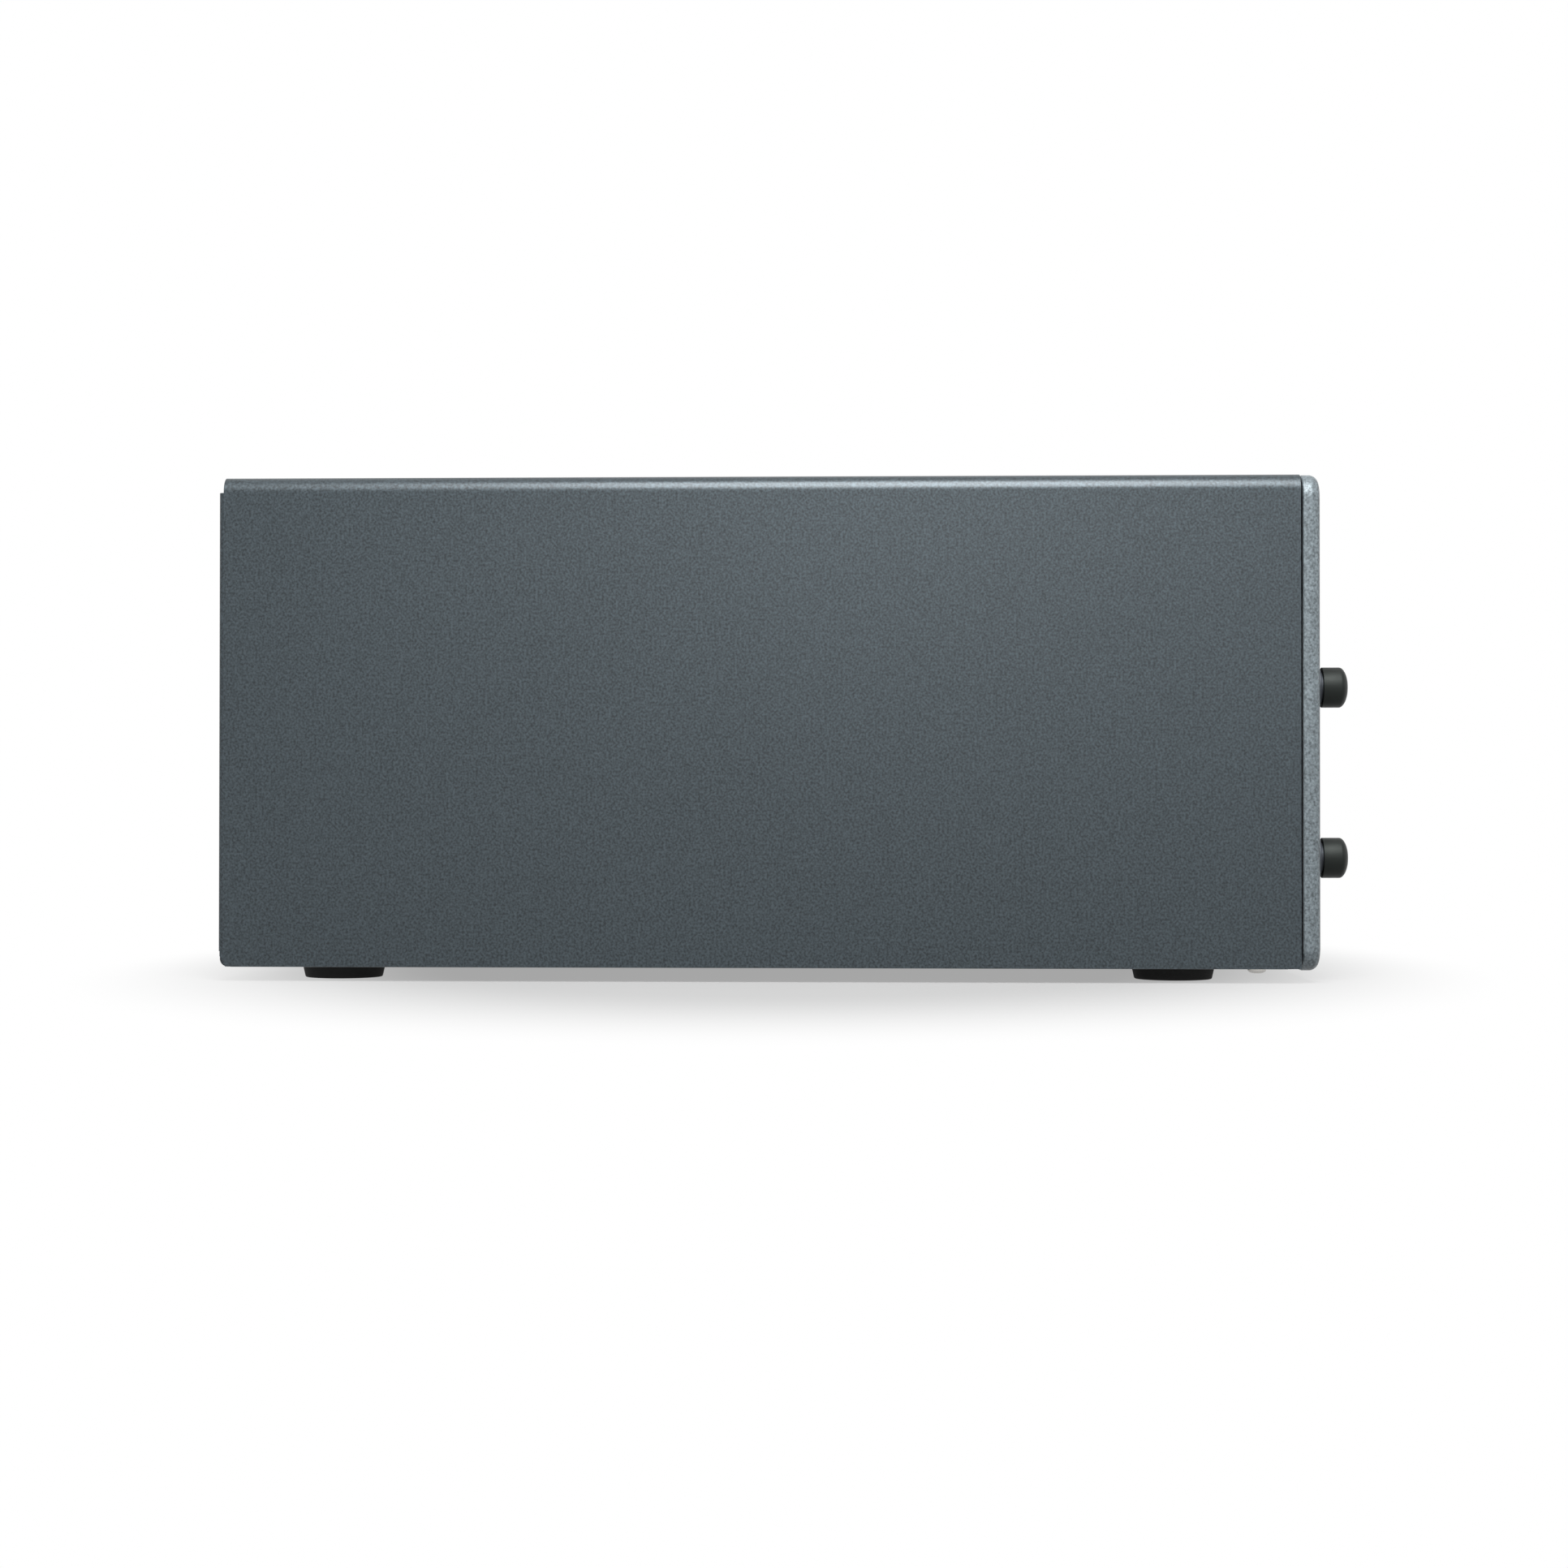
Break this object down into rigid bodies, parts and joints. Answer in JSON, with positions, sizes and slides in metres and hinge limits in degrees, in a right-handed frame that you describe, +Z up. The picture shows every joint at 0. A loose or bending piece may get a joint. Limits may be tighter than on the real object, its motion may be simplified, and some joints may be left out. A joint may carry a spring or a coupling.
{
  "type": "data tape drive",
  "caption": "Desktop enclosure with stacked half-height tape drives on pull-out sleds, captive thumbscrews, rubber feet, rear fans and mains inlet.",
  "frame": {"origin": "middle of the overall width and depth, on the surface that the rubber feet stand on", "axes": "+X to the right seen from the front, -Y out of the front bezel, +Z up"},
  "size_m": [0.2126, 0.3394, 0.15],
  "materials": {
    "case_paint": "fine speckled satin powder coat, dark grey",
    "bezel_paint": "fine speckled satin powder coat, mid grey",
    "black_steel": "satin black oxide",
    "clear_lens": "clear moulded light pipe",
    "foot_rubber": "matte black rubber",
    "bright_screws": "bright nickel plate",
    "zinc_steel": "zinc plated sheet",
    "supply_case": "plated sheet, dull",
    "circuit_board": "green solder mask",
    "black_plastic": "fine textured black",
    "button_plastic": "satin grey",
    "hub_plastic": "natural moulding",
    "port_steel": "satin nickel",
    "polished_steel": "ground and polished",
    "cast_aluminium": "die cast, satin"
  },
  "bodies": {
    "enclosure": {"cover": "case_paint", "front_bezel": "bezel_paint", "bottom_pan": "case_paint", "rear_panel": "case_paint", "vent_mesh": "black_steel", "power_light": "clear_lens", "rubber_feet": "foot_rubber", "case_screws": "bright_screws", "drive_cage": "zinc_steel", "sled_rails": "zinc_steel", "backplane_board": "circuit_board", "backplane_sockets": "black_plastic", "power_supply": "supply_case", "power_inlet": "black_plastic", "fan_frames": "black_plastic", "interface_board": "circuit_board", "interface_ports": "port_steel"},
    "power_rocker": {"power_rocker": "black_plastic"},
    "left_fan_rotor": {"left_fan_rotor": "black_plastic"},
    "right_fan_rotor": {"right_fan_rotor": "black_plastic"},
    "lower_sled": {"lower_sled_tray": "zinc_steel", "lower_sled_front": "bezel_paint", "lower_thumbscrew_ferrules": "black_steel", "lower_drive_base": "cast_aluminium", "lower_drive_lid": "zinc_steel", "lower_drive_screws": "bright_screws", "lower_drive_bezel": "black_plastic", "lower_tape_guides": "polished_steel", "lower_drive_board": "circuit_board", "lower_load_motor": "port_steel"},
    "lower_left_thumbscrew": {"lower_left_thumbscrew": "black_steel"},
    "lower_right_thumbscrew": {"lower_right_thumbscrew": "black_steel"},
    "lower_left_screw_clip": {"lower_left_screw_clip": "black_steel"},
    "lower_right_screw_clip": {"lower_right_screw_clip": "black_steel"},
    "lower_cartridge_door": {"lower_cartridge_door": "black_plastic"},
    "lower_eject_button": {"lower_eject_button": "button_plastic"},
    "lower_cartridge_carriage": {"lower_cartridge_carriage": "zinc_steel"},
    "lower_supply_hub": {"lower_supply_hub": "hub_plastic"},
    "lower_takeup_reel": {"lower_takeup_reel": "hub_plastic"},
    "lower_head_carriage": {"lower_head_carriage": "cast_aluminium"},
    "upper_sled": {"upper_sled_tray": "zinc_steel", "upper_sled_front": "bezel_paint", "upper_thumbscrew_ferrules": "black_steel", "upper_drive_base": "cast_aluminium", "upper_drive_lid": "zinc_steel", "upper_drive_screws": "bright_screws", "upper_drive_bezel": "black_plastic", "upper_tape_guides": "polished_steel", "upper_drive_board": "circuit_board", "upper_load_motor": "port_steel"},
    "upper_left_thumbscrew": {"upper_left_thumbscrew": "black_steel"},
    "upper_right_thumbscrew": {"upper_right_thumbscrew": "black_steel"},
    "upper_left_screw_clip": {"upper_left_screw_clip": "black_steel"},
    "upper_right_screw_clip": {"upper_right_screw_clip": "black_steel"},
    "upper_cartridge_door": {"upper_cartridge_door": "black_plastic"},
    "upper_eject_button": {"upper_eject_button": "button_plastic"},
    "upper_cartridge_carriage": {"upper_cartridge_carriage": "zinc_steel"},
    "upper_supply_hub": {"upper_supply_hub": "hub_plastic"},
    "upper_takeup_reel": {"upper_takeup_reel": "hub_plastic"},
    "upper_head_carriage": {"upper_head_carriage": "cast_aluminium"}
  },
  "joints": [
    {"name": "power_rocker_tilt", "type": "hinge", "parent": "enclosure", "child": "power_rocker", "pos_m": [0.068, 0.16279, 0.059], "axis": [1, 0, 0], "range_deg": [0, 12]},
    {"name": "left_fan_spin", "type": "hinge", "parent": "enclosure", "child": "left_fan_rotor", "pos_m": [-0.034, 0.1491, 0.104], "axis": [0, 1, 0], "continuous": true},
    {"name": "right_fan_spin", "type": "hinge", "parent": "enclosure", "child": "right_fan_rotor", "pos_m": [0.034, 0.1491, 0.104], "axis": [0, 1, 0], "continuous": true},
    {"name": "lower_sled_slide", "type": "slide", "parent": "enclosure", "child": "lower_sled", "axis": [0, -1, 0], "range_m": [0, 0.2]},
    {"name": "lower_left_screw_travel", "type": "slide", "parent": "lower_sled", "child": "lower_left_screw_clip", "axis": [0, -1, 0], "range_m": [0, 0.00385]},
    {"name": "lower_left_screw_turn", "type": "hinge", "parent": "lower_left_screw_clip", "child": "lower_left_thumbscrew", "pos_m": [-0.0915, -0.1697, 0.0367], "axis": [0, -1, 0], "range_deg": [0, 1985]},
    {"name": "lower_right_screw_travel", "type": "slide", "parent": "lower_sled", "child": "lower_right_screw_clip", "axis": [0, -1, 0], "range_m": [0, 0.00385]},
    {"name": "lower_right_screw_turn", "type": "hinge", "parent": "lower_right_screw_clip", "child": "lower_right_thumbscrew", "pos_m": [0.0915, -0.1697, 0.0367], "axis": [0, -1, 0], "range_deg": [0, 1985]},
    {"name": "lower_door_swing", "type": "hinge", "parent": "lower_sled", "child": "lower_cartridge_door", "pos_m": [-0.011, -0.1573, 0.0511], "axis": [1, 0, 0], "range_deg": [0, 85], "stiffness_Nm_per_rad": 0.002, "springref_deg": -17.19},
    {"name": "lower_eject_press", "type": "slide", "parent": "lower_sled", "child": "lower_eject_button", "axis": [0, 1, 0], "range_m": [0, 0.001], "stiffness_N_per_m": 400, "springref_m": -0.001},
    {"name": "lower_carriage_slide", "type": "slide", "parent": "lower_sled", "child": "lower_cartridge_carriage", "axis": [0, 1, 0], "range_m": [0, 0.012]},
    {"name": "lower_supply_hub_spin", "type": "hinge", "parent": "lower_sled", "child": "lower_supply_hub", "pos_m": [-0.011, -0.09, 0.01855], "axis": [0, 0, 1], "continuous": true},
    {"name": "lower_takeup_reel_spin", "type": "hinge", "parent": "lower_sled", "child": "lower_takeup_reel", "pos_m": [0.028, 0.006, 0.01855], "axis": [0, 0, 1], "continuous": true},
    {"name": "lower_head_slide", "type": "slide", "parent": "lower_sled", "child": "lower_head_carriage", "axis": [0, 0, 1], "range_m": [-0.004, 0.004]},
    {"name": "upper_sled_slide", "type": "slide", "parent": "enclosure", "child": "upper_sled", "axis": [0, -1, 0], "range_m": [0, 0.2]},
    {"name": "upper_left_screw_travel", "type": "slide", "parent": "upper_sled", "child": "upper_left_screw_clip", "axis": [0, -1, 0], "range_m": [0, 0.00385]},
    {"name": "upper_left_screw_turn", "type": "hinge", "parent": "upper_left_screw_clip", "child": "upper_left_thumbscrew", "pos_m": [-0.0915, -0.1697, 0.0875], "axis": [0, -1, 0], "range_deg": [0, 1985]},
    {"name": "upper_right_screw_travel", "type": "slide", "parent": "upper_sled", "child": "upper_right_screw_clip", "axis": [0, -1, 0], "range_m": [0, 0.00385]},
    {"name": "upper_right_screw_turn", "type": "hinge", "parent": "upper_right_screw_clip", "child": "upper_right_thumbscrew", "pos_m": [0.0915, -0.1697, 0.0875], "axis": [0, -1, 0], "range_deg": [0, 1985]},
    {"name": "upper_door_swing", "type": "hinge", "parent": "upper_sled", "child": "upper_cartridge_door", "pos_m": [-0.011, -0.1573, 0.1019], "axis": [1, 0, 0], "range_deg": [0, 85], "stiffness_Nm_per_rad": 0.002, "springref_deg": -17.19},
    {"name": "upper_eject_press", "type": "slide", "parent": "upper_sled", "child": "upper_eject_button", "axis": [0, 1, 0], "range_m": [0, 0.001], "stiffness_N_per_m": 400, "springref_m": -0.001},
    {"name": "upper_carriage_slide", "type": "slide", "parent": "upper_sled", "child": "upper_cartridge_carriage", "axis": [0, 1, 0], "range_m": [0, 0.012]},
    {"name": "upper_supply_hub_spin", "type": "hinge", "parent": "upper_sled", "child": "upper_supply_hub", "pos_m": [-0.011, -0.09, 0.06935], "axis": [0, 0, 1], "continuous": true},
    {"name": "upper_takeup_reel_spin", "type": "hinge", "parent": "upper_sled", "child": "upper_takeup_reel", "pos_m": [0.028, 0.006, 0.06935], "axis": [0, 0, 1], "continuous": true},
    {"name": "upper_head_slide", "type": "slide", "parent": "upper_sled", "child": "upper_head_carriage", "axis": [0, 0, 1], "range_m": [-0.004, 0.004]}
  ],
  "couplings": [
    {"joint": "lower_left_screw_turn", "follows": "lower_left_screw_travel", "rad_per_m": 8976},
    {"joint": "lower_right_screw_turn", "follows": "lower_right_screw_travel", "rad_per_m": 8976},
    {"joint": "upper_left_screw_turn", "follows": "upper_left_screw_travel", "rad_per_m": 8976},
    {"joint": "upper_right_screw_turn", "follows": "upper_right_screw_travel", "rad_per_m": 8976}
  ]
}
